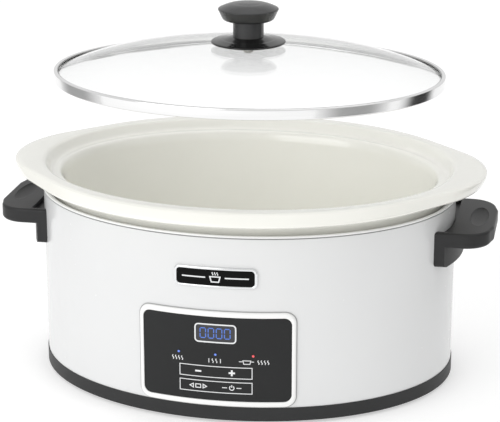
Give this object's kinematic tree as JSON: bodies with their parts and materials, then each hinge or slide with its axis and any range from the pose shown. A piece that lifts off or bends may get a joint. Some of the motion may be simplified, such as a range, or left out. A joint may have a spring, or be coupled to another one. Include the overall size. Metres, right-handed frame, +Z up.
{
  "type": "slow cooker",
  "caption": "Oval slow cooker with a lift-out stoneware crock, a domed glass lid with a knob, side handles and a digital control panel.",
  "frame": {"origin": "on the surface the cooker stands on, under the middle of the body", "axes": "+Z up, +X along the long axis towards the right-hand handle, -Y towards the control panel"},
  "size_m": [0.429, 0.32, 0.323],
  "materials": {
    "foot_rubber": "matt moulded",
    "dark_plastic": "fine moulded texture",
    "steel_fastener": "zinc plated",
    "white_enamel": "gloss white enamel",
    "well_metal": "rolled aluminised sheet",
    "heater_mica": "mica sheet",
    "fuse_metal": "drawn",
    "board_green": "solder mask",
    "relay_blue": "moulded",
    "transformer_body": "taped winding",
    "terminal_plastic": "moulded nylon",
    "white_gloss": "gloss white",
    "panel_black": "satin film",
    "window_smoke": "smoked clear",
    "print_white": "printed line",
    "display_black": "moulded",
    "lamp_blue": "clear tinted",
    "lamp_red": "clear tinted",
    "key_black": "satin",
    "shield_aluminium": "bright sheet",
    "badge_chrome": "bright",
    "badge_black": "gloss black",
    "gland_rubber": "matt",
    "handle_plastic": "satin moulded phenolic",
    "stoneware": "glazed cream stoneware",
    "rim_steel": "bright polished stainless",
    "lid_clear": "clear tempered glass",
    "gasket_silicone": "translucent silicone",
    "knob_plastic": "semi-gloss phenolic"
  },
  "bodies": {
    "housing": {"rubber_feet": "foot_rubber", "base_pan": "dark_plastic", "base_screws": "steel_fastener", "outer_shell": "white_enamel", "rim_ring": "white_enamel", "liner": "well_metal", "heater_band": "heater_mica", "heater_strap": "well_metal", "strap_bolt": "steel_fastener", "centre_stud": "steel_fastener", "centre_nut": "steel_fastener", "thermal_fuse": "fuse_metal", "fuse_clip": "well_metal", "temperature_sensor": "fuse_metal", "sensor_bracket": "well_metal", "power_board": "board_green", "power_board_screws": "steel_fastener", "relay": "relay_blue", "transformer": "transformer_body", "terminal_block": "terminal_plastic", "control_bezel": "white_gloss", "fascia": "panel_black", "display_window": "window_smoke", "display_frame": "print_white", "display_module": "display_black", "light_pipe_high": "lamp_blue", "light_pipe_low": "lamp_blue", "light_pipe_warm": "lamp_red", "lamp_chips": "terminal_plastic", "control_board": "board_green", "control_board_screws": "steel_fastener", "key_switches": "display_black", "heat_shield": "shield_aluminium", "badge_frame": "badge_chrome", "badge_plate": "badge_black", "cord_gland": "gland_rubber", "handle_right": "handle_plastic", "handle_left": "handle_plastic", "handle_screws": "steel_fastener"},
    "crock": {"crock": "stoneware"},
    "lid": {"lid_rim": "rim_steel", "lid_glass": "lid_clear", "knob_gasket": "gasket_silicone", "lid_washer": "steel_fastener", "lid_screw": "steel_fastener", "knob_skirt": "knob_plastic", "knob_grip": "knob_plastic"},
    "key_minus": {"key_minus": "key_black"},
    "key_plus": {"key_plus": "key_black"},
    "key_select": {"key_select": "key_black"},
    "key_power": {"key_power": "key_black"}
  },
  "joints": [
    {"name": "crock_lift", "type": "slide", "parent": "housing", "child": "crock", "axis": [0, 0, 1], "range_m": [0, 0.17]},
    {"name": "lid_lift", "type": "slide", "parent": "crock", "child": "lid", "axis": [0, 0, 1], "range_m": [-0.0791, 0.06]},
    {"name": "key_minus_press", "type": "slide", "parent": "housing", "child": "key_minus", "axis": [0, 1, 0], "range_m": [0, 0.0004], "stiffness_N_per_m": 600, "springref_m": -0.0004},
    {"name": "key_plus_press", "type": "slide", "parent": "housing", "child": "key_plus", "axis": [0, 1, 0], "range_m": [0, 0.0004], "stiffness_N_per_m": 600, "springref_m": -0.0004},
    {"name": "key_select_press", "type": "slide", "parent": "housing", "child": "key_select", "axis": [0, 1, 0], "range_m": [0, 0.0004], "stiffness_N_per_m": 600, "springref_m": -0.0004},
    {"name": "key_power_press", "type": "slide", "parent": "housing", "child": "key_power", "axis": [0, 1, 0], "range_m": [0, 0.0004], "stiffness_N_per_m": 600, "springref_m": -0.0004}
  ]
}
